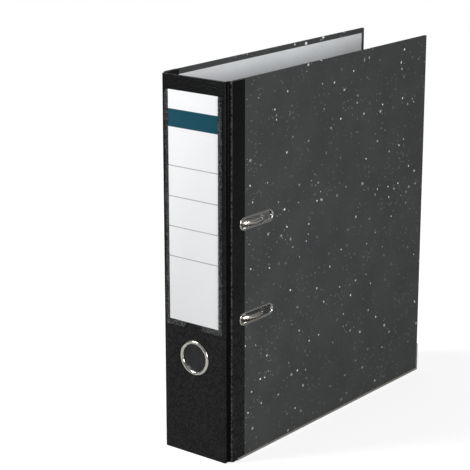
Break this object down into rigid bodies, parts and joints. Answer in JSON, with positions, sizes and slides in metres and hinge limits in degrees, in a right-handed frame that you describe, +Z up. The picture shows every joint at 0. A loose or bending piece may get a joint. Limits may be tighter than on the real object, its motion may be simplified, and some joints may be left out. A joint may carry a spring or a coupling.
{
  "type": "lever arch file",
  "caption": "Upright A4 lever arch file: two covers creased onto a spine with a finger ring and a label pocket, arches showing in metal-rimmed cover slots.",
  "frame": {"origin": "centre of the closed file's bounding box, on the surface it stands on", "axes": "+Z up along the height of the spine; -Y towards the spine's outer face; +X towards the front cover with the slots; the mechanism is on the cover at -X"},
  "size_m": [0.0718, 0.2862, 0.318],
  "materials": {
    "greyboard": "raw grey board, hidden between the papers",
    "cloud_paper": "matt charcoal cloud paper with pale fibre specks",
    "spine_paper": "black embossed grained paper",
    "lining": "smooth light grey lining paper",
    "nickel": "bright nickel plate",
    "plate_steel": "plated sheet steel",
    "pocket_weld": "textured dark film weld",
    "clear_film": "clear film",
    "label_paper": "white card with one coloured band and thin grey rules"
  },
  "bodies": {
    "back_cover": {"back_board": "greyboard", "back_cloud_paper": "cloud_paper", "back_spine_wrap": "spine_paper", "back_lining": "lining", "back_edge_rail": "nickel", "base_plate": "plate_steel", "plate_rivets": "nickel", "lower_post": "nickel", "upper_post": "nickel", "wire_clips": "plate_steel", "lever_bracket": "plate_steel", "lever_pivot_pin": "nickel", "leaf_spring": "plate_steel"},
    "back_fold": {"back_crease": "spine_paper"},
    "spine": {"spine_board": "greyboard", "spine_paper": "spine_paper", "spine_lining": "lining", "finger_ring": "nickel", "pocket_border": "pocket_weld", "pocket_window": "clear_film"},
    "label": {"label_card": "label_paper"},
    "front_fold": {"front_crease": "spine_paper"},
    "front_cover": {"front_board": "greyboard", "front_cloud_paper": "cloud_paper", "front_spine_wrap": "spine_paper", "front_lining": "lining", "front_edge_rail": "nickel", "lower_slot_rim": "nickel", "upper_slot_rim": "nickel"},
    "arches": {"arch_wire": "nickel"},
    "lever": {"lever": "nickel", "lever_tip": "nickel", "roller_pin": "nickel"},
    "roller": {"roller": "plate_steel"}
  },
  "joints": [
    {"name": "spine_hinge", "type": "hinge", "parent": "back_fold", "child": "spine", "pos_m": [-0.0309, -0.1406, 0.159], "axis": [0, 0, -1], "range_deg": [0, 45]},
    {"name": "back_fold_hinge", "type": "hinge", "parent": "back_cover", "child": "back_fold", "pos_m": [-0.0338, -0.1351, 0.159], "axis": [0, 0, -1], "range_deg": [0, 45]},
    {"name": "front_cover_hinge", "type": "hinge", "parent": "front_fold", "child": "front_cover", "pos_m": [0.0336, -0.1351, 0.159], "axis": [0, 0, -1], "range_deg": [0, 90]},
    {"name": "front_fold_hinge", "type": "hinge", "parent": "spine", "child": "front_fold", "pos_m": [0.0307, -0.1406, 0.159], "axis": [0, 0, -1], "range_deg": [0, 90]},
    {"name": "label_slide", "type": "slide", "parent": "spine", "child": "label", "axis": [0, 0, 1], "range_m": [0, 0.15]},
    {"name": "arch_swing", "type": "hinge", "parent": "back_cover", "child": "arches", "pos_m": [-0.0294, -0.1219, 0.1595], "axis": [0, 0, -1], "range_deg": [0, 50]},
    {"name": "lever_swing", "type": "hinge", "parent": "back_cover", "child": "lever", "pos_m": [-0.0141, -0.0979, 0.1595], "axis": [0, 0, 1], "range_deg": [0, 65]},
    {"name": "roller_spin", "type": "hinge", "parent": "lever", "child": "roller", "pos_m": [-0.02409, -0.10683, 0.1595], "axis": [0, 0, 1], "continuous": true}
  ],
  "couplings": [
    {"joint": "back_fold_hinge", "follows": "spine_hinge", "ratio": 1},
    {"joint": "front_fold_hinge", "follows": "front_cover_hinge", "ratio": 1},
    {"joint": "arch_swing", "follows": "spine_hinge", "ratio": 1.111},
    {"joint": "lever_swing", "follows": "spine_hinge", "ratio": 1.4443}
  ]
}
